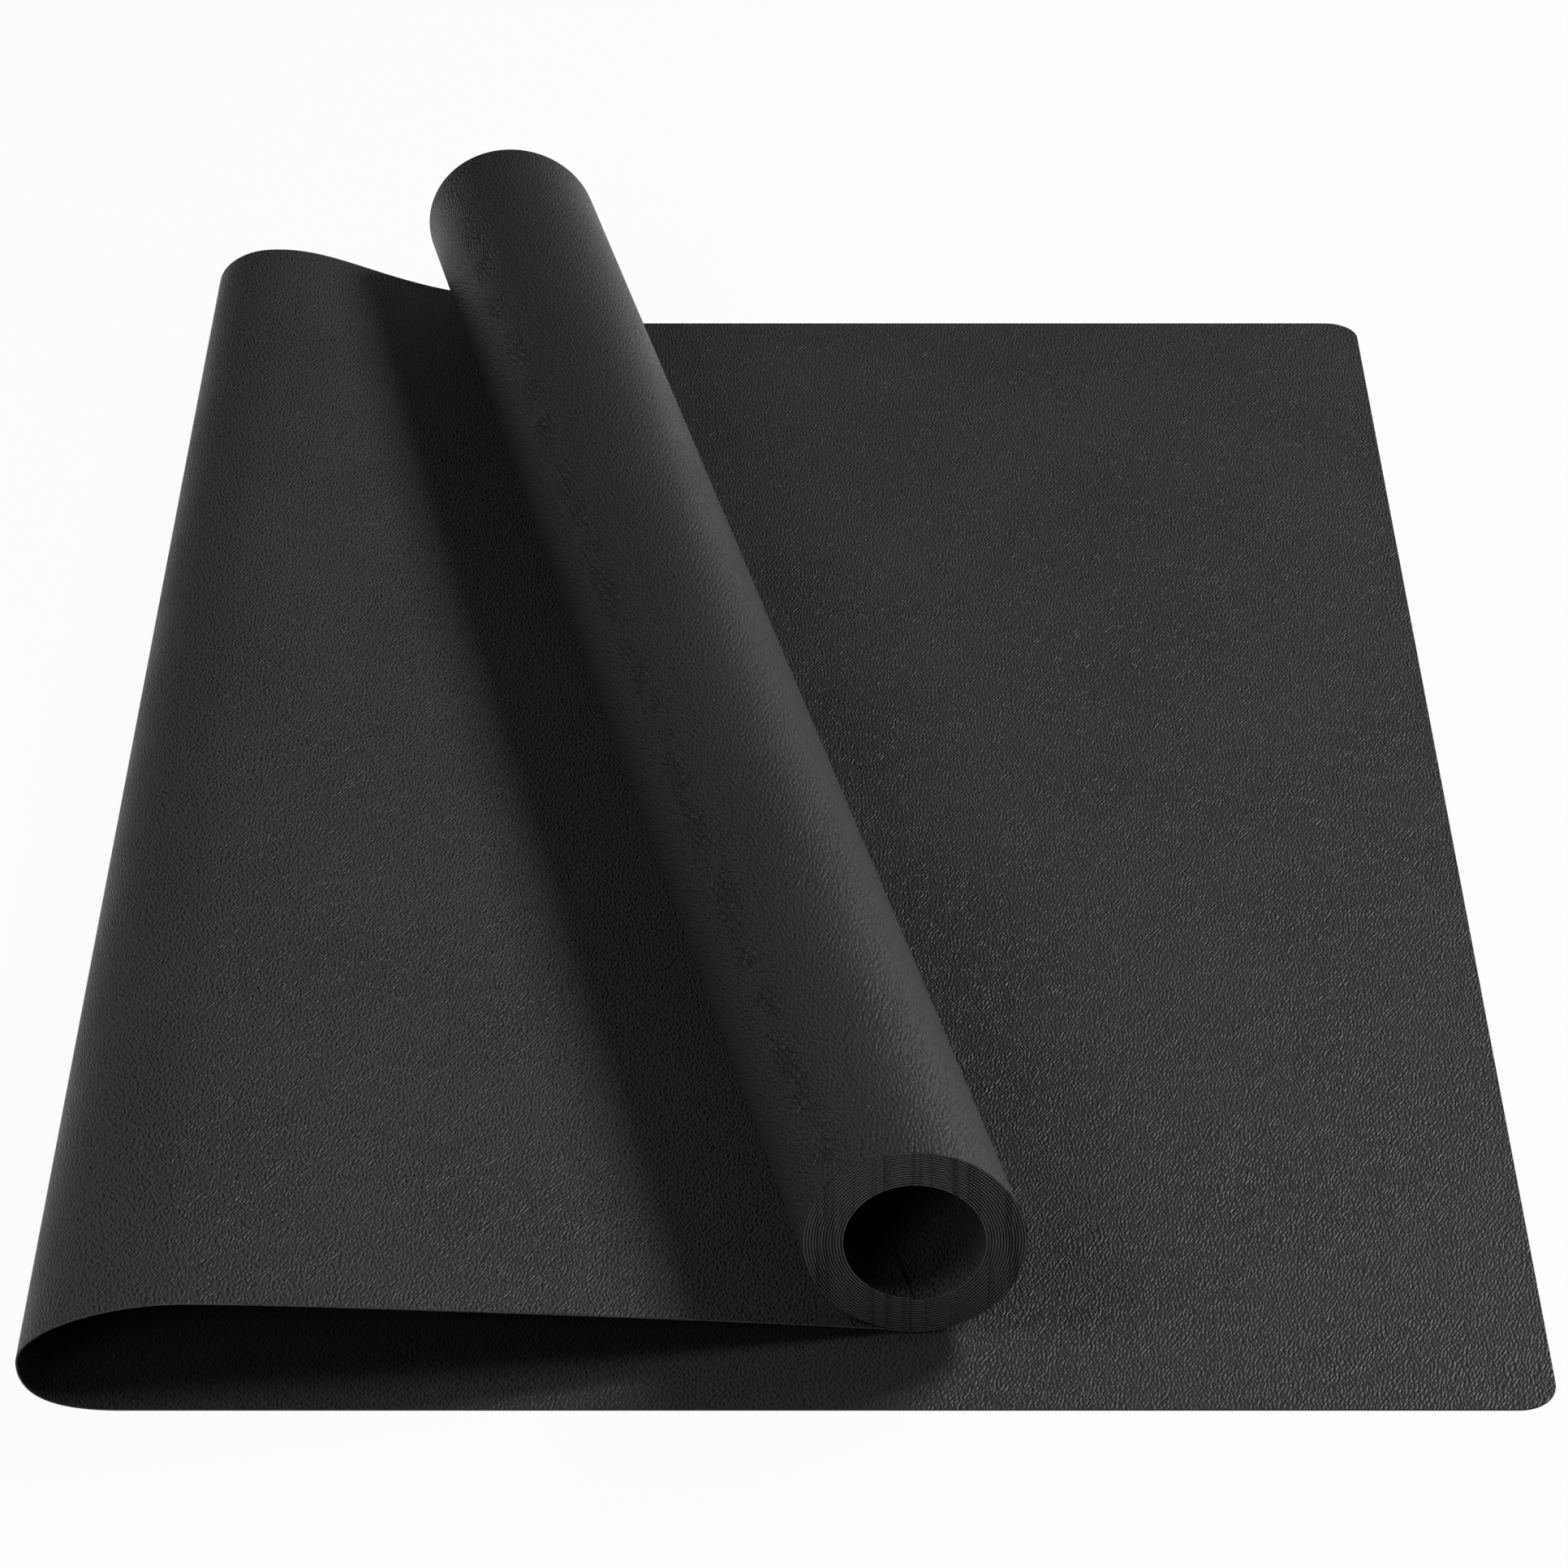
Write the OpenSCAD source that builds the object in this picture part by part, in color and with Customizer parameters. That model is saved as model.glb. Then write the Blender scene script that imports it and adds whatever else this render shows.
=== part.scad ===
// Desk mat of double-sided leathercloth: flat at the right, turned over at the left, and wound into a roll.
// The sheet is a laminate of a face skin, a woven core and a back skin, bonded all over.
// Z = 0 is the desk top. The origin is the middle of the whole shape's outline on the desk.
// A place along a bent edge is given as [point, normal], where the normal points to the sheet's face side.

/* [Sheet] */
// Width of the mat across its two long edges
mat_w = 450; // [400:10:600]
// Thickness of the whole laminate
sheet_t = 0.44; // [0.40:0.02:0.60]
// Thickness of each outer skin
skin_t = 0.12; // [0.08:0.02:0.16]
// Length of the lower layer, from its free edge to the outside of the bend
base_l = 300; // [280:5:400]
// Radius of the free corners
corner_r = 8; // [2:1:20]

/* [Bend] */
// Height of the outermost line of the bend
bend_mid_h = 11.6; // [10:0.2:13]
// Length of the lower half of the bend along the desk
foot_l = 20; // [16:1:24]
// Height of the bend's crown at the near edge
crown_h_near = 24.2; // [22:0.2:27]
// Height of the bend's crown at the far edge
crown_h_far = 21.4; // [19:0.2:24]
// Distance of the crown from the outside of the bend, at the near edge
crown_l_near = 28.4; // [20:0.2:36]
// Distance of the crown from the outside of the bend, at the far edge
crown_l_far = 13; // [10:0.5:20]

/* [Roll] */
// Number of turns in the roll
turns = 14; // [8:1:16]
// Radius of the hollow down the middle of the roll
bore_r = 13.8; // [12:0.2:15]
// Air gap between one turn and the next
turn_gap = 0.14; // [0.12:0.01:0.18]
// Angle between the roll and the long direction of the bend
skew = 12.5; // [8:0.5:13]
// Distance of the roll's near end from the outside of the bend
roll_x = 174.3; // [165:0.1:180]
// Distance that the roll's near end stands back from the near edge
setback = 23.4; // [15:0.2:30]
// Air gap under the roll, where the flap lies over the lower layer
lift = 0.3; // [0.2:0.05:0.5]

/* [Hidden] */

// Offsets of the three plies from the sheet's back, towards its face
back = [0, skin_t];
core = [skin_t, sheet_t - skin_t];
face = [sheet_t - skin_t, sheet_t];
skin_colour = [0.13, 0.13, 0.14];
core_colour = [0.28, 0.28, 0.29];

bend_steps = 12;  // facets in each half of the bend
flap_steps = 18;  // facets along the flap
turn_step = 12;   // degrees between two corners of a turn

pitch = sheet_t + turn_gap;
back_r = bore_r + turns * pitch;      // radius of the outermost turn's back
roll_r = back_r + sheet_t;
roll_z = sheet_t + lift + roll_r;
roll_l = mat_w * cos(skew);           // length of the roll along Y
near_y = -(setback + roll_l) / 2;     // the mat's near edge
out_x = -base_l / 2;                  // the outside of the bend
lead = turn_step;                     // the flap joins the roll this far before its lowest line
drift_power = 1.2;                    // how the flap's edges move along Y on their way to the roll

near_end = [out_x + roll_x, near_y + setback];
far_end = [near_end[0] - mat_w * sin(skew), near_end[1] + roll_l];

// Handles of the lower bend's curve, as shares of its length and its height
foot_pull = 0.67;
side_pull = 0.71;
// Handles of the flap's two edge curves: the first at the crown, the second at the roll
near_handles = [14, 38];
far_handles = [18, 30];

// The roll's turns, as the first and last angle of each stretch
start_a = -90 - lead;
outer_turn = [start_a, 270];
middle_turns = [270, 360 * (turns - 1) - 90];
inner_turn = [360 * (turns - 1) - 90, 360 * turns - 90];

// ---- outlines -------------------------------------------------------------------------------------------

function right_of(d) = [d[1], -d[0]] / norm(d);

// The upper half of the bend, from its outermost line to its crown
function upper_bend(crown_l, crown_h) =
    let(rise = crown_h - bend_mid_h)
    [for (i = [0:bend_steps]) let(v = 90 * i / bend_steps)
        [[out_x + crown_l * (1 - cos(v)), bend_mid_h + rise * sin(v)],
         right_of([crown_l * sin(v), rise * cos(v)])]];

function cubic(p, t) = pow(1 - t, 3) * p[0] + 3 * pow(1 - t, 2) * t * p[1]
    + 3 * (1 - t) * pow(t, 2) * p[2] + pow(t, 3) * p[3];
function cubic_way(p, t) = pow(1 - t, 2) * (p[1] - p[0]) + 2 * (1 - t) * t * (p[2] - p[1])
    + pow(t, 2) * (p[3] - p[2]);

function along(p, steps) = [for (i = [0:steps]) [cubic(p, i / steps), right_of(cubic_way(p, i / steps))]];

// The lower half of the bend, from the desk up to its outermost line
function lower_bend() =
    let(start = [out_x + foot_l, 0], end = [out_x, bend_mid_h])
    along([start, start - [foot_pull * foot_l, 0], end - [0, side_pull * bend_mid_h], end], bend_steps);

// The flap, from the crown to the line where it joins the roll
function flap_edge(crown_l, crown_h, roll_at, handles) =
    let(top = [out_x + crown_l, crown_h],
        foot = [roll_at - back_r * sin(lead), roll_z - back_r * cos(lead)],
        way = [-cos(lead), sin(lead)])
    along([top, top + [handles[0], 0], foot + handles[1] * way, foot], flap_steps);

// How far an edge of the flap has moved along Y at x, when it has moved by amount at the roll
function drift(x, roll_at, amount) =
    amount * pow(max(0, x - out_x) / (roll_at - back_r * sin(lead) - out_x), drift_power);

// The radius of the spiral's back at an angle, which counts on from the first turn
function turn_r(a) = back_r - pitch * (a - start_a) / 360;

// ---- solids ---------------------------------------------------------------------------------------------

function edge_points(edge, off, roll_at, y, amount) =
    [for (e = edge) let(q = e[0] + off * e[1]) [q[0], y + drift(e[0][0], roll_at, amount), q[1]]];

// One ply of the sheet, ruled straight across from its near edge to its far edge
module ruled_ply(near_edge, far_edge, ply) {
    far_shift = far_end[1] - near_y - mat_w;
    rails = [edge_points(near_edge, ply[0], near_end[0], near_y, setback),
             edge_points(near_edge, ply[1], near_end[0], near_y, setback),
             edge_points(far_edge, ply[1], far_end[0], near_y + mat_w, far_shift),
             edge_points(far_edge, ply[0], far_end[0], near_y + mat_w, far_shift)];
    n = len(near_edge);
    points = [for (i = [0:n - 1]) for (r = rails) r[i]];
    // The back surface's quads are split along the same diagonal as the face surface's
    sides = [for (i = [0:n - 2]) for (k = [0:3])
        let(a = 4 * i + k, b = 4 * i + (k + 1) % 4)
        each k < 3 ? [[a, a + 4, b], [b, a + 4, b + 4]] : [[a, a + 4, b + 4], [a, b + 4, b]]];
    last = 4 * (n - 1);
    ends = [[0, 1, 2], [0, 2, 3], [last + 2, last + 1, last], [last + 3, last + 2, last]];
    polyhedron(points, concat(sides, ends), convexity = 4);
}

module flat_ply(ply) {
    outline_l = base_l - foot_l;
    translate([out_x + foot_l, near_y, ply[0]])
        linear_extrude(ply[1] - ply[0])
            difference() {
                square([outline_l, mat_w]);
                for (side = [0, 1])
                    translate([outline_l - corner_r, side * mat_w])
                        mirror([0, side])
                            difference() {
                                translate([0, -1]) square([corner_r + 1, corner_r + 1]);
                                translate([0, corner_r]) circle(corner_r, $fn = 64);
                            }
            }
}

module lower_bend_ply(ply) {
    edge = lower_bend();
    translate([0, near_y + mat_w, 0])
        rotate([90, 0, 0])
            linear_extrude(mat_w)
                polygon(concat([for (e = edge) e[0] + ply[0] * e[1]],
                               [for (i = [len(edge) - 1:-1:0]) edge[i][0] + ply[1] * edge[i][1]]));
}

module upper_bend_ply(ply) {
    ruled_ply(upper_bend(crown_l_near, crown_h_near), upper_bend(crown_l_far, crown_h_far), ply);
}

module flap_ply(ply) {
    ruled_ply(flap_edge(crown_l_near, crown_h_near, near_end[0], near_handles),
              flap_edge(crown_l_far, crown_h_far, far_end[0], far_handles), ply);
}

// The spiral is drawn square to the roll's axis, so it is narrowed by the skew and stays round along Y
module roll_ply(stretch, ply) {
    angles = [stretch[0]:turn_step:stretch[1]];
    inside = [for (a = angles) let(r = turn_r(a) + ply[0]) [cos(skew) * r * cos(a), r * sin(a)]];
    outside = [for (a = angles) let(r = turn_r(a) + ply[1]) [cos(skew) * r * cos(a), r * sin(a)]];
    count = len(inside);
    spare = roll_r;
    intersection() {
        translate([near_end[0], near_end[1], roll_z])
            rotate([0, 0, skew])
                translate([0, mat_w + spare, 0])
                    rotate([90, 0, 0])
                        linear_extrude(mat_w + 2 * spare)
                            polygon(concat(inside, [for (i = [count - 1:-1:0]) outside[i]]));
        translate([-base_l, near_end[1], -roll_r])
            cube([2 * base_l, roll_l, 4 * roll_r]);
    }
}

// ---- sub-parts ------------------------------------------------------------------------------------------

module base_back_skin() { color(skin_colour) flat_ply(back); }
module base_core() { color(core_colour) flat_ply(core); }
module base_face_skin() { color(skin_colour) flat_ply(face); }
module lower_bend_back_skin() { color(skin_colour) lower_bend_ply(back); }
module lower_bend_core() { color(core_colour) lower_bend_ply(core); }
module lower_bend_face_skin() { color(skin_colour) lower_bend_ply(face); }
module upper_bend_back_skin() { color(skin_colour) upper_bend_ply(back); }
module upper_bend_core() { color(core_colour) upper_bend_ply(core); }
module upper_bend_face_skin() { color(skin_colour) upper_bend_ply(face); }
module flap_back_skin() { color(skin_colour) flap_ply(back); }
module flap_core() { color(core_colour) flap_ply(core); }
module flap_face_skin() { color(skin_colour) flap_ply(face); }
module outer_turn_back_skin() { color(skin_colour) roll_ply(outer_turn, back); }
module outer_turn_core() { color(core_colour) roll_ply(outer_turn, core); }
module outer_turn_face_skin() { color(skin_colour) roll_ply(outer_turn, face); }
module middle_turns_back_skin() { color(skin_colour) roll_ply(middle_turns, back); }
module middle_turns_core() { color(core_colour) roll_ply(middle_turns, core); }
module middle_turns_face_skin() { color(skin_colour) roll_ply(middle_turns, face); }
module inner_turn_back_skin() { color(skin_colour) roll_ply(inner_turn, back); }
module inner_turn_core() { color(core_colour) roll_ply(inner_turn, core); }
module inner_turn_face_skin() { color(skin_colour) roll_ply(inner_turn, face); }

base_back_skin();
base_core();
base_face_skin();
lower_bend_back_skin();
lower_bend_core();
lower_bend_face_skin();
upper_bend_back_skin();
upper_bend_core();
upper_bend_face_skin();
flap_back_skin();
flap_core();
flap_face_skin();
outer_turn_back_skin();
outer_turn_core();
outer_turn_face_skin();
middle_turns_back_skin();
middle_turns_core();
middle_turns_face_skin();
inner_turn_back_skin();
inner_turn_core();
inner_turn_face_skin();
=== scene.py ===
# %% [markdown]
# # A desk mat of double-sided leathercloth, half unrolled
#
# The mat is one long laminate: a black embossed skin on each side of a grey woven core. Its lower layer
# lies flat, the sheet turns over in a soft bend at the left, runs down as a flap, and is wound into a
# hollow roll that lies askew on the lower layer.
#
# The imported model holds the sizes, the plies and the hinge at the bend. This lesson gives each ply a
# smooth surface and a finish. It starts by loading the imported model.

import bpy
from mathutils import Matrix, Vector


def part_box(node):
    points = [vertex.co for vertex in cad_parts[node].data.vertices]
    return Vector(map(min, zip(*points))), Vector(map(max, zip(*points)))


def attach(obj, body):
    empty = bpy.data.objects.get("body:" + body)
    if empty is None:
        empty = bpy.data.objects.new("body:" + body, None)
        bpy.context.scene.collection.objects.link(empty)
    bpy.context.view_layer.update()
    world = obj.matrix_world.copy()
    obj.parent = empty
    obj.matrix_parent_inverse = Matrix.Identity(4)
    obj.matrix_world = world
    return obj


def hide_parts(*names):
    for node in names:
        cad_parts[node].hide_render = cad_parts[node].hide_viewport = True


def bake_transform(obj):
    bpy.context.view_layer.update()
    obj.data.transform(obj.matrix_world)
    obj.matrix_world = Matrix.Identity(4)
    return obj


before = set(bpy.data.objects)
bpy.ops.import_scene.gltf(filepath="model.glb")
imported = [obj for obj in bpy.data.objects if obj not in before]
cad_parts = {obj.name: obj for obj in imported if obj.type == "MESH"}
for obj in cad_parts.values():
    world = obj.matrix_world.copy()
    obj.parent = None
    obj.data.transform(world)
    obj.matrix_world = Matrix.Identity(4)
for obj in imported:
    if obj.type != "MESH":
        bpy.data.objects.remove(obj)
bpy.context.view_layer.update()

# %% Tools
import math

import bmesh
import bpy
from mathutils import Vector

MM = 0.001  # Blender works in metres, and the sizes below are easier to read in millimetres

# %% [markdown]
# ## Light, floor and camera
#
# Four soft square lights stand around the mat, as they would in a small studio. The key is behind it to
# the right: it rakes along the leather, so the grain shows, and it puts a bright stripe on the roll's
# right flank. A weak low light on the right widens that stripe. A fill in front, to the left, looks into
# the roll's bore and under the flap. Another fill, on the left, keeps the roll's left flank out of the
# dark. Lights close to the mat were preferred to suns, because their light falls off across it, which
# gives a big flat surface its shading.
#
# The floor is pale. Seen directly it also glows, so that the mat's shadow on it stays light, and the
# light that it throws back at the mat is that of a plain matt floor.

# %% Lights
def add_light(name, place, aim, watts, side):
    """A square light at place that faces aim."""
    light = bpy.data.lights.new(name, "AREA")
    light.shape = "SQUARE"
    light.size = side
    light.energy = watts
    lamp = bpy.data.objects.new(name, light)
    lamp.location = place
    lamp.rotation_mode = "QUATERNION"
    lamp.rotation_quaternion = (Vector(place) - Vector(aim)).to_track_quat("Z", "Y")
    bpy.context.scene.collection.objects.link(lamp)
    return lamp


LIGHTS = [
    add_light("key", (1.16, 0.79, 1.13), (0, 0, 0), 34.5, 0.50),
    add_light("front_fill", (-0.45, -1.00, 0.60), (0.05, -0.10, 0), 3.0, 0.40),
    add_light("left_fill", (-0.62, -0.30, 0.80), (-0.05, 0, 0), 5.6, 0.40),
    add_light("right_rim", (0.80, 0.00, 0.24), (0.05, -0.05, 0), 2.4, 0.30),
]
print("lights:", {lamp.name: round(lamp.data.energy, 1) for lamp in LIGHTS})


# %% Sky
def add_sky(fill, seen):
    """An even sky: fill is what it sheds on the mat, and seen is how bright it looks behind it."""
    world = bpy.data.worlds.new("sky")
    bpy.context.scene.world = world
    world.use_nodes = True
    nodes, links = world.node_tree.nodes, world.node_tree.links
    nodes.clear()
    out = nodes.new("ShaderNodeOutputWorld")
    mix = nodes.new("ShaderNodeMixShader")
    path = nodes.new("ShaderNodeLightPath")
    for slot, strength in ((1, fill), (2, seen)):
        sky = nodes.new("ShaderNodeBackground")
        sky.inputs["Color"].default_value = (1, 1, 1, 1)
        sky.inputs["Strength"].default_value = strength
        links.new(sky.outputs["Background"], mix.inputs[slot])
    links.new(path.outputs["Is Camera Ray"], mix.inputs["Fac"])
    links.new(mix.outputs["Shader"], out.inputs["Surface"])


SKY_FILL, SKY_SEEN = 0.02, 1.0
add_sky(SKY_FILL, SKY_SEEN)
print(f"sky: sheds {SKY_FILL} on the mat and is seen at {SKY_SEEN}")


# %% Floor
FLOOR_GREY = 0.84        # the share of light that the matt floor throws back
FLOOR_WHITE = 0.98       # the brightness of the white that it is mixed with where it is seen directly
FLOOR_GLOW = 0.97        # and the share of that white
FLOOR_HALF_SIDE = 6.0    # metres


def floor_finish(glow):
    """A matt near-white floor. glow is the share of plain white in it where it is seen directly."""
    finish = bpy.data.materials.new("floor")
    finish.use_nodes = True
    nodes, links = finish.node_tree.nodes, finish.node_tree.links
    nodes.clear()
    out = nodes.new("ShaderNodeOutputMaterial")
    matt = nodes.new("ShaderNodeBsdfDiffuse")
    matt.inputs["Color"].default_value = (FLOOR_GREY, FLOOR_GREY, FLOOR_GREY, 1)
    white = nodes.new("ShaderNodeEmission")
    white.inputs["Color"].default_value = (1, 1, 1, 1)
    white.inputs["Strength"].default_value = FLOOR_WHITE
    path = nodes.new("ShaderNodeLightPath")
    share = nodes.new("ShaderNodeMath")
    share.operation = "MULTIPLY"
    share.inputs[1].default_value = glow
    mix = nodes.new("ShaderNodeMixShader")
    links.new(path.outputs["Is Camera Ray"], share.inputs[0])
    links.new(share.outputs["Value"], mix.inputs["Fac"])
    links.new(matt.outputs["BSDF"], mix.inputs[1])
    links.new(white.outputs["Emission"], mix.inputs[2])
    links.new(mix.outputs["Shader"], out.inputs["Surface"])
    return finish


def add_floor(half_side, below):
    """A square floor, a hair below the mat so that the two never lie in one plane."""
    bm = bmesh.new()
    bmesh.ops.create_grid(bm, x_segments=1, y_segments=1, size=half_side)
    bmesh.ops.translate(bm, verts=bm.verts, vec=(0, 0, -below))
    mesh = bpy.data.meshes.new("floor")
    bm.to_mesh(mesh)
    bm.free()
    mesh.materials.append(floor_finish(FLOOR_GLOW))
    floor = bpy.data.objects.new("floor", mesh)
    bpy.context.scene.collection.objects.link(floor)


add_floor(FLOOR_HALF_SIDE, below=0.05 * MM)
print(f"floor: {2 * FLOOR_HALF_SIDE:.0f} m across, grey {FLOOR_GREY}")

# %% [markdown]
# The camera stands in front of the mat and looks down at it at about a third of a right angle. A long
# lens keeps the mat's two long edges nearly parallel. View transform 'Standard' keeps the blacks black.

# %% Camera
CAMERA_PLACE = (-0.0012, -1.0457, 0.6700)
LOOKS_DOWN = 32.8       # degrees below the horizon
LENS, SENSOR = 123.5, 36   # mm
NEAREST, FARTHEST = 0.05, 50   # metres from the camera, between which things are drawn


def add_camera():
    lens = bpy.data.cameras.new("camera")
    lens.lens = LENS
    lens.sensor_width = SENSOR
    lens.clip_start = NEAREST
    lens.clip_end = FARTHEST
    camera = bpy.data.objects.new("camera", lens)
    camera.location = CAMERA_PLACE
    camera.rotation_euler = (math.radians(90 - LOOKS_DOWN), 0, 0)
    bpy.context.scene.collection.objects.link(camera)
    bpy.context.scene.camera = camera


add_camera()
bpy.context.scene.view_settings.view_transform = "Standard"
print(f"camera: {LENS} mm lens, looking down by {LOOKS_DOWN} degrees")

# %% [markdown]
# ## Sizes
#
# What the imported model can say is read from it: the mat's width, the thickness of the laminate and its
# skins, and where the bend and the roll begin and end. The shape of the bend and the winding of the roll
# follow a few sizes of the design.

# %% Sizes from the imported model
flat_low, flat_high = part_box("base_back_skin")
bend_low, bend_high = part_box("lower_bend_back_skin")
roll_low, roll_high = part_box("outer_turn_face_skin")

NEAR_Y, FAR_Y = flat_low.y, flat_high.y          # the mat's two long edges
MAT_W = FAR_Y - NEAR_Y
FREE_X = flat_high.x                             # the free edge of the lower layer
OUT_X = bend_low.x                               # the outside of the bend
FOOT_X = bend_high.x                             # where the lower layer starts to lift
BEND_MID_H = bend_high.z                         # height of the bend's outermost line
SKIN_T = flat_high.z
SHEET_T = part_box("base_face_skin")[1].z
ROLL_NEAR_Y, ROLL_FAR_Y = roll_low.y, roll_high.y
print(f"mat {MAT_W / MM:.1f} mm wide, sheet {SHEET_T / MM:.2f} mm thick, skins {SKIN_T / MM:.2f} mm")

# %% Sizes of the design
CROWN_H = (24.2 * MM, 21.4 * MM)        # height of the bend's crown, at the near and the far edge
CROWN_L = (28.4 * MM, 13.0 * MM)        # its distance from the outside of the bend
FOOT_PULL, SIDE_PULL = 0.67, 0.71       # handles of the lower bend, as shares of its length and height
FLAP_HANDLES = ((14 * MM, 38 * MM), (18 * MM, 30 * MM))   # at the crown and at the roll, for each edge
DRIFT_POWER = 1.2                       # how the flap's edges move across on their way to the roll

TURNS = 14
BORE_R = 13.8 * MM                      # radius of the hole through the roll
TURN_GAP = 0.14 * MM                    # air between two turns
LIFT = 0.3 * MM                         # air under the roll
SKEW = math.radians(12.5)               # how far askew the roll lies
ROLL_X = 174.3 * MM                     # the roll's near end, from the outside of the bend
LEAD = math.radians(12)                 # the flap joins the roll this far before its lowest line

PITCH = SHEET_T + TURN_GAP
BACK_R = BORE_R + TURNS * PITCH         # radius of the outermost turn's back
ROLL_Z = SHEET_T + LIFT + BACK_R + SHEET_T
ROLL_AT = (OUT_X + ROLL_X, OUT_X + ROLL_X - MAT_W * math.sin(SKEW))   # the axis, at its two ends
DRIFT = (ROLL_NEAR_Y - NEAR_Y, ROLL_FAR_Y - FAR_Y)
NEAR, FAR = 0, 1
print(f"roll {2 * (BACK_R + SHEET_T) / MM:.1f} mm across, {TURNS} turns, pitch {PITCH / MM:.2f} mm")

# %% [markdown]
# ## The path of the sheet
#
# Paper-thin sheet bends along straight lines only. So the mat is a ruled surface: each line across it
# runs straight from its near edge to its far edge. It is enough to know the path of the two edges. Five
# short functions give them: a straight line for the flat part, a curve for the lower half of the bend, a
# quarter of an ellipse for its upper half, a curve for the flap, and a spiral for the roll. Each gives
# places on the sheet's back, with the direction that points through the sheet to its face.
#
# A cloth simulation could bend the sheet too, but fourteen turns with 0.14 mm of air between them are
# hard to settle, and this mat holds its own curve anyway.

# %% Curves
def face_side(way):
    """The direction on the right of a way through the sheet's section, where its face is."""
    return Vector((way[1], -way[0])).normalized()


def on_cubic(p, t):
    """The place at t on a cubic curve with four points, and the face side there."""
    s = 1 - t
    place = s**3 * p[0] + 3 * s * s * t * p[1] + 3 * s * t * t * p[2] + t**3 * p[3]
    way = s * s * (p[1] - p[0]) + 2 * s * t * (p[2] - p[1]) + t * t * (p[3] - p[2])
    return place, face_side(way)


def on_flat(x):
    return Vector((x, 0)), Vector((0, 1))


def on_lower_bend(t):
    start, end = Vector((FOOT_X, 0)), Vector((OUT_X, BEND_MID_H))
    pull_x, pull_z = FOOT_PULL * (FOOT_X - OUT_X), SIDE_PULL * BEND_MID_H
    return on_cubic((start, start - Vector((pull_x, 0)), end - Vector((0, pull_z)), end), t)


def on_upper_bend(side, t):
    length, rise, a = CROWN_L[side], CROWN_H[side] - BEND_MID_H, t * math.pi / 2
    place = Vector((OUT_X + length * (1 - math.cos(a)), BEND_MID_H + rise * math.sin(a)))
    return place, face_side((length * math.sin(a), rise * math.cos(a)))


def on_flap(side, t):
    top = Vector((OUT_X + CROWN_L[side], CROWN_H[side]))
    foot = Vector((ROLL_AT[side] - BACK_R * math.sin(LEAD), ROLL_Z - BACK_R * math.cos(LEAD)))
    first, last = FLAP_HANDLES[side]
    way = Vector((-math.cos(LEAD), math.sin(LEAD)))
    return on_cubic((top, top + Vector((first, 0)), foot + last * way, foot), t)


def on_roll(side, turned):
    """turned is the angle wound since the flap met the roll, in radians."""
    a = turned - math.pi / 2 - LEAD
    r = BACK_R - PITCH * turned / (2 * math.pi)
    out = Vector((math.cos(a), math.sin(a)))
    return Vector((ROLL_AT[side], ROLL_Z)) + r * out, out


# %% [markdown]
# The roll lies askew, so the flap is sheared on its way to it: its near edge and its far edge both drift
# across. A station is one line across the sheet: the places and face sides of its two ends, how far each
# end has drifted, and how much sheet has been used up to there.

# %% Stations
def drift(side, x):
    reach = ROLL_AT[side] - BACK_R * math.sin(LEAD) - OUT_X
    share = min(1.0, max(0.0, x - OUT_X) / reach)
    return DRIFT[side] * share**DRIFT_POWER


def station(ends, shares):
    """ends holds (place, face side) at the near and the far edge, and shares how far each has drifted."""
    return {"place": [e[0] for e in ends], "out": [e[1] for e in ends], "drift": shares}


def stations_between(path, steps, start=0.0, end=1.0, drifting=False, settled=False):
    """One station for each step of a path, from start to end. On the flap the ends are drifting across, and
    on the roll they have settled at their full drift."""
    made = []
    for i in range(steps + 1):
        t = start + (end - start) * i / steps
        ends = [path(side, t) for side in (NEAR, FAR)]
        shares = [0.0, 0.0]
        if drifting:
            shares = [drift(side, ends[side][0][0]) for side in (NEAR, FAR)]
        if settled:
            shares = list(DRIFT)
        made.append(station(ends, shares))
    return made


FLAT_END_X = FOOT_X + 5 * MM   # the flat piece ends here, where the sheet is still flat
BEND_STEPS, FLAP_STEPS, TURN_STEPS = 28, 90, 80

flat_part = stations_between(lambda side, x: on_flat(x), 2, FREE_X, FLAT_END_X)
bend_part = stations_between(lambda side, x: on_flat(x), 3, FLAT_END_X, FOOT_X)
bend_part += stations_between(lambda side, t: on_lower_bend(t), BEND_STEPS)[1:]
bend_part += stations_between(on_upper_bend, BEND_STEPS, drifting=True)[1:]
flap_part = stations_between(on_flap, FLAP_STEPS, drifting=True)
wound = 2 * math.pi * TURNS + LEAD
flap_part += stations_between(on_roll, TURNS * TURN_STEPS, 0.0, wound, settled=True)[1:]
print("stations in flat part, bend, and flap with roll:", len(flat_part), len(bend_part), len(flap_part))


# %% Length of sheet used
def measure_used(parts):
    """Gives each station the length of sheet that lies before it, at its near and its far edge."""
    used, last = [0.0, 0.0], None
    for part in parts:
        for here in part:
            if last is not None:
                for side in (NEAR, FAR):
                    used[side] += (here["place"][side] - last["place"][side]).length
            here["used"] = list(used)
            last = here
    return used


total = measure_used([flat_part, bend_part, flap_part])
print("length of the whole mat in mm, near and far:", [round(x / MM, 1) for x in total])

# %% [markdown]
# ## Cutting and bending a ply
#
# Each ply starts as it is cut: a flat rectangle, made by create_grid and thickened by extruding it, with
# one row of faces for each station. It gets its UV map while it is flat, in metres along and across the
# sheet, so the grain runs over the bend and into the roll without a seam. Then every vertex moves to its
# place on the path. The edges where a face meets a cut are marked sharp, and everything else is shaded
# smooth.

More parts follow.
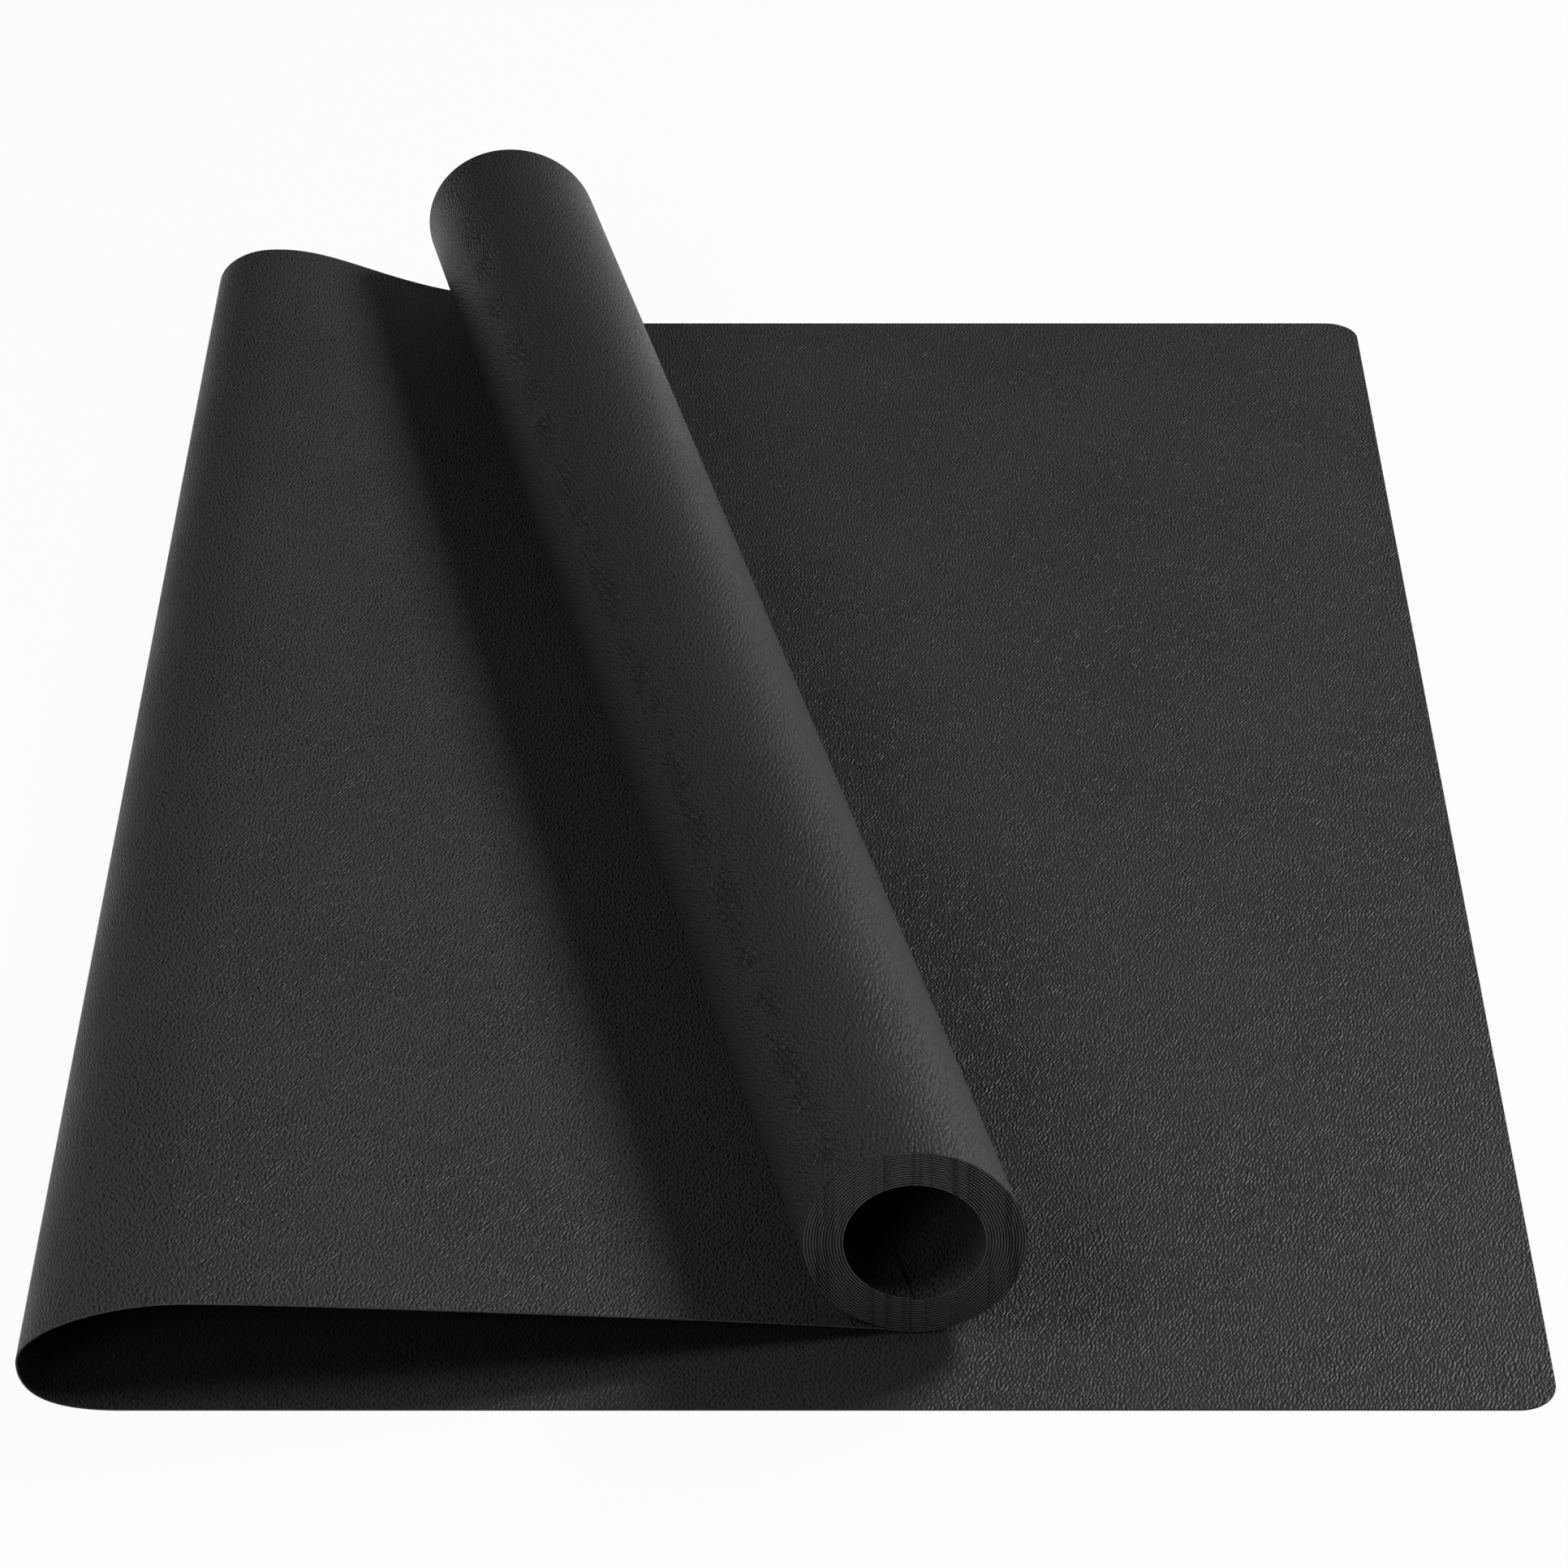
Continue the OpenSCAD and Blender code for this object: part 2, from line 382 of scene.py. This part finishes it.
# %% Place on the bent sheet
def place_on(here, across, depth):
    """The place across (0 near, 1 far) a station, at a depth from the sheet's back."""
    ends = []
    for side, edge_y in ((NEAR, NEAR_Y), (FAR, FAR_Y)):
        q = here["place"][side] + depth * here["out"][side]
        ends.append(Vector((q[0], edge_y + here["drift"][side], q[1])))
    return ends[NEAR].lerp(ends[FAR], across)


# %% Ply
SHARP_FROM = math.radians(40)     # edges that turn by more than this are shaded sharp
UPRIGHT = 0.5                     # a face whose normal rises by less than this stands upright


def lay_uvs(bm, stations):
    """u is metres along the sheet. v is metres across it plus the depth, which gives cut edges a width."""
    layer = bm.loops.layers.uv.new("cut")
    steps = len(stations) - 1
    for face in bm.faces:
        for loop in face.loops:
            p, across, depth = loop.vert.co
            used = stations[round(p * steps)]["used"]
            along = used[NEAR] + (used[FAR] - used[NEAR]) * across
            loop[layer].uv = (along, across * MAT_W + depth)


def mark_cut_faces(bm):
    """Gives the faces along the cuts the second finish. They stand upright, as the ply is still flat."""
    bm.normal_update()
    for face in bm.faces:
        face.material_index = int(abs(face.normal.z) < UPRIGHT)


def cut_ply(name, stations, strips, low, high):
    """A closed sheet between two depths, cut flat and then bent along its stations."""
    bm = bmesh.new()
    steps = len(stations) - 1
    bmesh.ops.create_grid(bm, x_segments=steps, y_segments=strips, size=0.5)
    bmesh.ops.translate(bm, verts=bm.verts, vec=(0.5, 0.5, low))
    grown = bmesh.ops.extrude_face_region(bm, geom=bm.faces[:])["geom"]
    top = [v for v in grown if isinstance(v, bmesh.types.BMVert)]
    bmesh.ops.translate(bm, verts=top, vec=(0, 0, high - low))
    lay_uvs(bm, stations)
    mark_cut_faces(bm)
    for v in bm.verts:
        v.co = place_on(stations[round(v.co.x * steps)], v.co.y, v.co.z)
    return finish_mesh(bm, name)


def finish_mesh(bm, name):
    """Turns the faces outwards, shades them smooth between the cut edges, and links the piece."""
    bmesh.ops.recalc_face_normals(bm, faces=bm.faces)
    if bm.calc_volume(signed=True) < 0:
        bmesh.ops.reverse_faces(bm, faces=bm.faces)
    for face in bm.faces:
        face.smooth = True
    for edge in bm.edges:
        edge.smooth = edge.calc_face_angle(0) < SHARP_FROM
    mesh = bpy.data.meshes.new(name)
    bm.to_mesh(mesh)
    volume = bm.calc_volume(signed=True)
    bm.free()
    piece = bpy.data.objects.new(name, mesh)
    bpy.context.scene.collection.objects.link(piece)
    print(f"{name}: {len(mesh.polygons)} faces, {volume / MM**3:.0f} mm3")
    return piece


# %% [markdown]
# The flat piece needs no stations: it is one rectangle with its two free corners rounded. Bevelling the
# two corner vertices rounds them before the ply gets its thickness.

# %% Flat ply
CORNER_R = 8 * MM
CORNER_STEPS = 12


def cut_flat_ply(name, low, high):
    bm = bmesh.new()
    bmesh.ops.create_grid(bm, x_segments=1, y_segments=1, size=0.5)
    length = FREE_X - FLAT_END_X
    bmesh.ops.scale(bm, verts=bm.verts, vec=(length, MAT_W, 1))
    bmesh.ops.translate(bm, verts=bm.verts, vec=((FREE_X + FLAT_END_X) / 2, (NEAR_Y + FAR_Y) / 2, low))
    corners = [v for v in bm.verts if v.co.x > 0]
    bmesh.ops.bevel(bm, geom=corners, offset=CORNER_R, affect="VERTICES", segments=CORNER_STEPS, profile=0.5,
                    material=-1)
    grown = bmesh.ops.extrude_face_region(bm, geom=bm.faces[:])["geom"]
    top = [v for v in grown if isinstance(v, bmesh.types.BMVert)]
    bmesh.ops.translate(bm, verts=top, vec=(0, 0, high - low))
    layer = bm.loops.layers.uv.new("cut")
    for face in bm.faces:
        for loop in face.loops:
            x, y, z = loop.vert.co
            loop[layer].uv = (FREE_X - x, y - NEAR_Y + z)
    mark_cut_faces(bm)
    return finish_mesh(bm, name)


# %% [markdown]
# ## Finishes
#
# Both skins wear the same grain: fine ridges about 0.8 mm apart and 2 to 3 mm long, which run mostly
# across the mat and cross at a slant. The grain is an effect of both skins, so it is a node group. A
# Gabor texture draws parallel ridges at a set pitch, in small patches that each turn a little. Two of
# them that lean opposite ways are added, and a third, weaker one runs longer lines through them. Noise
# first pushes them a little out of line.

# %% Node helpers
def add_group(name, inputs, outputs):
    """An empty shader node group with named inputs and outputs."""
    group = bpy.data.node_groups.new(name, "ShaderNodeTree")
    for title, kind, value in inputs:
        made = group.interface.new_socket(name=title, in_out="INPUT", socket_type=kind)
        if value is not None:
            made.default_value = value
    for title, kind in outputs:
        group.interface.new_socket(name=title, in_out="OUTPUT", socket_type=kind)
    return group, group.nodes.new("NodeGroupInput"), group.nodes.new("NodeGroupOutput")


def put(tree, kind, settings=None, **values):
    """Adds a node. settings are its own properties. values are its inputs, by name or as in0, in1 and so on,
    and each is a value or a socket."""
    node = tree.nodes.new(kind)
    for key, value in (settings or {}).items():
        setattr(node, key, value)
    for key, value in values.items():
        index = int(key[2:]) if key.startswith("in") and key[2:].isdigit() else key.replace("_", " ")
        if isinstance(value, bpy.types.NodeSocket):
            tree.links.new(value, node.inputs[index])
        else:
            node.inputs[index].default_value = value
    return node


def maths(tree, operation, a, b=0.0, c=0.0):
    return put(tree, "ShaderNodeMath", {"operation": operation}, in0=a, in1=b, in2=c).outputs[0]


def ramp(tree, value, low, high, to_low=0.0, to_high=1.0):
    """A smooth step from to_low to to_high while value goes from low to high."""
    node = put(tree, "ShaderNodeMapRange", {"interpolation_type": "SMOOTHSTEP"}, in0=value, in1=low,
               in2=high, in3=to_low, in4=to_high)
    return node.outputs[0]


def mix_colour(tree, share, a, b):
    """A colour between a and b. A Mix node has sockets for each kind of value: 6 and 7 are its colours."""
    node = tree.nodes.new("ShaderNodeMix")
    node.data_type = "RGBA"
    for index, value in ((0, share), (6, a), (7, b)):
        if isinstance(value, bpy.types.NodeSocket):
            tree.links.new(value, node.inputs[index])
        else:
            node.inputs[index].default_value = value
    return node.outputs[2]


# %% Grain
PUSH_SCALE = 220.0                             # how fine the noise is that pushes the ridges out of line
PUSH_ALONG, PUSH_ACROSS = 0.8 * MM, 1.2 * MM   # and twice how far it moves them, at most
ONE_WAY = (0.75 * MM, 1.05 * MM, 2.6 * MM)     # pitch of the ridges, then width and length of a patch
OTHER_WAY = (0.80 * MM, 1.1 * MM, 2.6 * MM)
LONG_WAY = (0.90 * MM, 1.2 * MM, 7.0 * MM)
OTHER_LEAN, LONG_LEAN = -0.9, 2.0              # their slants, as shares of the first
ORDER, LONG_ORDER = 0.4, 0.6                   # how well the ridges keep to the slant, from 0 to 1
RIDGE_SHARE, LONG_SHARE = 0.4, 0.2             # what each crossing set and the long lines give to the height
# painted shade: between these heights of the grain, the shade painted into the creases fades out
CREASE_SHADE_FROM, CREASE_SHADE_TO = 0.38, 0.56            # heights between which a crease ends
PATCH_SCALE = 22.0                             # how fine the patches of gloss are


def build_grain():
    """Embossed leathercloth grain. Place is in metres along and across the sheet, and Lean slants it."""
    group, into, out = add_group(
        "embossed_grain",
        [
            ("Place", "NodeSocketVector", None),
            ("Lean", "NodeSocketFloat", 0.0),
            ("Long lines", "NodeSocketFloat", LONG_SHARE),
        ],
        [("Height", "NodeSocketFloat"), ("Crease", "NodeSocketFloat"), ("Patches", "NodeSocketFloat")],
    )
    place = into.outputs["Place"]
    lean = into.outputs["Lean"]

    def slanted(start, wide, long, slant):
        """start in a net of cells that are wide by long and lean by slant."""
        turn = put(group, "ShaderNodeCombineXYZ", Z=slant)
        return put(group, "ShaderNodeMapping", {"vector_type": "TEXTURE"}, Vector=start,
                   Rotation=turn.outputs[0], Scale=(wide, long, 1)).outputs[0]

    def pushed(start, scale, along, across):
        """start, moved aside by noise, at most about half of along and across."""
        noise = put(group, "ShaderNodeTexNoise", Vector=start, Scale=scale, Detail=1.0)
        centred = put(group, "ShaderNodeVectorMath", {"operation": "SUBTRACT"}, in0=noise.outputs["Color"],
                      in1=(0.5, 0.5, 0.5))
        moved = put(group, "ShaderNodeVectorMath", {"operation": "MULTIPLY_ADD"}, in0=centred.outputs[0],
                    in1=(along, across, 0), in2=start)
        return moved.outputs[0]

    def ridges(start, pitch, wide, long, slant, order):
        """Parallel ridges at a pitch, in patches that are wide by long. order 1 keeps all at the slant."""
        return put(group, "ShaderNodeTexGabor", in0=slanted(start, wide, long, slant), in1=1.0,
                   in2=wide / pitch, in3=order, in4=0.0).outputs["Value"]

    bent = pushed(place, PUSH_SCALE, PUSH_ALONG, PUSH_ACROSS)
    one_way = ridges(bent, *ONE_WAY, lean, ORDER)
    other_way = ridges(bent, *OTHER_WAY, maths(group, "MULTIPLY", lean, OTHER_LEAN), ORDER)
    long_lines = ridges(bent, *LONG_WAY, maths(group, "MULTIPLY", lean, LONG_LEAN), LONG_ORDER)
    height = maths(group, "MULTIPLY_ADD", maths(group, "ADD", one_way, other_way), RIDGE_SHARE,
                   maths(group, "MULTIPLY", long_lines, into.outputs["Long lines"]))
    patches = put(group, "ShaderNodeTexNoise", Vector=place, Scale=PATCH_SCALE, Detail=3.0)
    group.links.new(height, out.inputs["Height"])
    # Painted shade: a mask that is 1 down in the creases and 0 on the ridges, which darkens the skin's
    # colour there
    group.links.new(ramp(group, height, CREASE_SHADE_FROM, CREASE_SHADE_TO, 1.0, 0.0), out.inputs["Crease"])
    group.links.new(patches.outputs["Fac"], out.inputs["Patches"])
    return group


grain = build_grain()
print("grain: a group of", len(grain.nodes), "nodes")

# %% [markdown]
# A skin is a Principled shader. Its colour is nearly black, with shade painted darker down in the creases.
# Its gloss is that of a matt coating that varies in patches, and the grain's height goes through a Bump
# node.
#
# On the roll's upper left flank the outermost turn has a narrow band of short fine cracks. The band
# follows one line of the winding, so it is placed by the length of sheet used up to there. It belongs to
# the face skin's own material and not to the grain's group, because the back skin has none.

# %% Creased band
BAND_CORE, BAND_EDGE = 1.5 * MM, 5.0 * MM    # distances from its middle line: full strength, then none
BLOTCH_SCALE = 90.0                          # how fine the blotches are that break the band up
BLOTCH_FROM, BLOTCH_TO = 0.40, 0.54          # values of the noise between which a blotch begins
CRACK_SCALE = 700.0                          # how fine the cells between the cracks are
CRACK_STRETCH = 0.5                          # makes them twice as long across the mat as along it
CRACK_WIDTH, CRACK_DEPTH = 0.20, 0.6         # as shares of a cell, and of the grain's height


def creased_band(tree, place, near, far):
    """Short fine cracks in a narrow band across the mat, from near to far along its two edges."""
    split = put(tree, "ShaderNodeSeparateXYZ", Vector=place)
    middle = maths(tree, "MULTIPLY_ADD", split.outputs["Y"], (far - near) / MAT_W, near)
    aside = maths(tree, "ABSOLUTE", maths(tree, "SUBTRACT", split.outputs["X"], middle))
    blotches = put(tree, "ShaderNodeTexNoise", Vector=place, Scale=BLOTCH_SCALE, Detail=2.0).outputs["Fac"]
    where = maths(tree, "MULTIPLY", ramp(tree, aside, BAND_CORE, BAND_EDGE, 1.0, 0.0),
                  ramp(tree, blotches, BLOTCH_FROM, BLOTCH_TO))
    stretched = put(tree, "ShaderNodeVectorMath", {"operation": "MULTIPLY"}, in0=place,
                    in1=(1, CRACK_STRETCH, 0))
    cells = put(tree, "ShaderNodeTexVoronoi", {"voronoi_dimensions": "2D", "feature": "DISTANCE_TO_EDGE"},
                Vector=stretched.outputs[0], Scale=CRACK_SCALE, Randomness=1.0)
    cracks = ramp(tree, cells.outputs["Distance"], 0.0, CRACK_WIDTH, CRACK_DEPTH, 0.0)
    return maths(tree, "MULTIPLY", where, cracks)


FLANK = math.radians(240)         # from where the flap meets the roll, round to the roll's upper left flank
flank = flap_part[FLAP_STEPS + round(FLANK / (2 * math.pi) * TURN_STEPS)]
print("creased band: in mm of sheet, near and far:", [round(x / MM, 1) for x in flank["used"]])

# %% Skin
SKIN_SPECULAR = 0.2
GLOSS_SPREAD = 0.04               # how far the roughness goes up and down from patch to patch


def skin_finish(name, colour, crease_shade_colour, roughness, relief, lean, creased_along=None):
    """Black leathercloth. relief is the height of the grain in metres, and lean its slant in degrees."""
    finish = bpy.data.materials.new(name)
    finish.use_nodes = True
    tree = finish.node_tree
    shader = tree.nodes["Principled BSDF"]
    uv = put(tree, "ShaderNodeUVMap", {"uv_map": "cut"})
    emboss = put(tree, "ShaderNodeGroup", {"node_tree": grain}, Place=uv.outputs["UV"],
                 Lean=math.radians(lean), Long_lines=LONG_SHARE)
    # painted shade: the colour darkens towards the second colour down in the creases
    colour = mix_colour(tree, emboss.outputs["Crease"], (*colour, 1), (*crease_shade_colour, 1))
    rough = ramp(tree, emboss.outputs["Patches"], 0.3, 0.7, roughness - GLOSS_SPREAD,
                 roughness + GLOSS_SPREAD)
    shader.inputs["Specular IOR Level"].default_value = SKIN_SPECULAR
    height = emboss.outputs["Height"]
    if creased_along:
        height = maths(tree, "SUBTRACT", height, creased_band(tree, uv.outputs["UV"], *creased_along))
    bump = put(tree, "ShaderNodeBump", Height=height, Distance=relief, Strength=1.0)
    tree.links.new(colour, shader.inputs["Base Color"])
    tree.links.new(rough, shader.inputs["Roughness"])
    tree.links.new(bump.outputs["Normal"], shader.inputs["Normal"])
    return finish


# The second colour of each skin is painted shade for the bottoms of the creases.
FACE_BLACK, FACE_CREASE_SHADE = (0.026, 0.026, 0.0264), (0.009, 0.009, 0.009)
BACK_BLACK, BACK_CREASE_SHADE = (0.030, 0.030, 0.0304), (0.005, 0.005, 0.005)
LEAN = 16                         # degrees, and the other way on the back skin
face_leather = skin_finish("face_leather", FACE_BLACK, FACE_CREASE_SHADE, roughness=0.47, relief=0.58 * MM,
                           lean=LEAN, creased_along=flank["used"])
back_leather = skin_finish("back_leather", BACK_BLACK, BACK_CREASE_SHADE, roughness=0.45, relief=0.45 * MM,
                           lean=-LEAN)
print("skins:", face_leather.name, "and", back_leather.name)

# %% [markdown]
# Where the mat is cut, the core and the foamed back skin are taken to look alike: grey, with threads
# pressed through. The face skin is taken to be solid, so its cut stays black. That gives the roll's end
# its light and dark rings. The threads could be modelled, but they are less than a millimetre apart, so
# noise that is stretched upwards over the roll's end draws them.

# %% Cut edges
CUT_ROUGHNESS, CUT_SPECULAR = 0.9, 0.1
STREAK_SCALE, FIBRE_SCALE = 1300.0, 2500.0
STREAK_STRETCH = (1, 0.05, 0.02)             # streaks are fine along X and long along Y and Z
CORE_DARK, CORE_LIGHT = (0.030, 0.030, 0.030, 1), (0.070, 0.070, 0.070, 1)
FIBRE_RELIEF = 0.02 * MM
CUT_BLACK = (0.003, 0.003, 0.003, 1)


def core_finish():
    """The woven core and the foamed back skin, where they are cut. Threads press through the cut and show as
    fine streaks that cross all the turns of the roll."""
    finish = bpy.data.materials.new("woven_core")
    finish.use_nodes = True
    tree = finish.node_tree
    shader = tree.nodes["Principled BSDF"]
    place = put(tree, "ShaderNodeTexCoord").outputs["Object"]
    along = put(tree, "ShaderNodeVectorMath", {"operation": "MULTIPLY"}, in0=place, in1=STREAK_STRETCH)
    streaks = put(tree, "ShaderNodeTexNoise", Vector=along.outputs[0], Scale=STREAK_SCALE,
                  Detail=1.0).outputs["Fac"]
    fibres = put(tree, "ShaderNodeTexNoise", Vector=place, Scale=FIBRE_SCALE, Detail=1.0).outputs["Fac"]
    share = maths(tree, "MULTIPLY", ramp(tree, streaks, 0.30, 0.50), ramp(tree, fibres, 0.1, 0.8, 0.5, 1.0))
    colour = mix_colour(tree, share, CORE_DARK, CORE_LIGHT)
    bump = put(tree, "ShaderNodeBump", Height=fibres, Distance=FIBRE_RELIEF, Strength=1.0)
    tree.links.new(colour, shader.inputs["Base Color"])
    tree.links.new(bump.outputs["Normal"], shader.inputs["Normal"])
    shader.inputs["Roughness"].default_value = CUT_ROUGHNESS
    shader.inputs["Specular IOR Level"].default_value = CUT_SPECULAR
    return finish


def black_cut_finish():
    """The cut edge of the solid black face skin: matt, with nothing to see on it."""
    finish = bpy.data.materials.new("black_cut")
    finish.use_nodes = True
    shader = finish.node_tree.nodes["Principled BSDF"]
    shader.inputs["Base Color"].default_value = CUT_BLACK
    shader.inputs["Roughness"].default_value = CUT_ROUGHNESS
    shader.inputs["Specular IOR Level"].default_value = CUT_SPECULAR
    return finish


woven_core = core_finish()
black_cut = black_cut_finish()
print("cut edges:", woven_core.name, "and", black_cut.name)

# %% [markdown]
# ## The nine pieces
#
# The three plies are cut, bent and finished one by one, each in three lengths: the flat part, the bend,
# and the flap with its roll. The flat part rides on the lower body and the roll on the upper one. The
# bend lies between the two in its rest shape and rides on neither.

# %% Plies
PLIES = {
    "back_skin": ((0.0, SKIN_T), back_leather, woven_core),
    "core": ((SKIN_T, SHEET_T - SKIN_T), woven_core, woven_core),
    "face_skin": ((SHEET_T - SKIN_T, SHEET_T), face_leather, black_cut),
}
STRIPS = 14                       # rows of faces across the mat


def declare(piece, ply):
    """Gives a piece its finish and its cut finish."""
    for finish in PLIES[ply][1:]:
        piece.data.materials.append(finish)


def make_flat(ply):
    low, high = PLIES[ply][0]
    piece = cut_flat_ply(f"flat_{ply}", low, high)
    declare(piece, ply)
    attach(piece, "base")
    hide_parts(f"base_{ply}")


def make_bend(ply):
    low, high = PLIES[ply][0]
    piece = cut_ply(f"bend_{ply}", bend_part, STRIPS, low, high)
    declare(piece, ply)
    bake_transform(piece)
    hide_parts(f"lower_bend_{ply}", f"upper_bend_{ply}")


def make_flap_and_roll(ply):
    low, high = PLIES[ply][0]
    piece = cut_ply(f"rolled_{ply}", flap_part, STRIPS, low, high)
    declare(piece, ply)
    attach(piece, "flap")
    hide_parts(f"flap_{ply}", f"outer_turn_{ply}", f"middle_turns_{ply}", f"inner_turn_{ply}")


for ply_name in PLIES:
    make_flat(ply_name)
    make_bend(ply_name)
    make_flap_and_roll(ply_name)
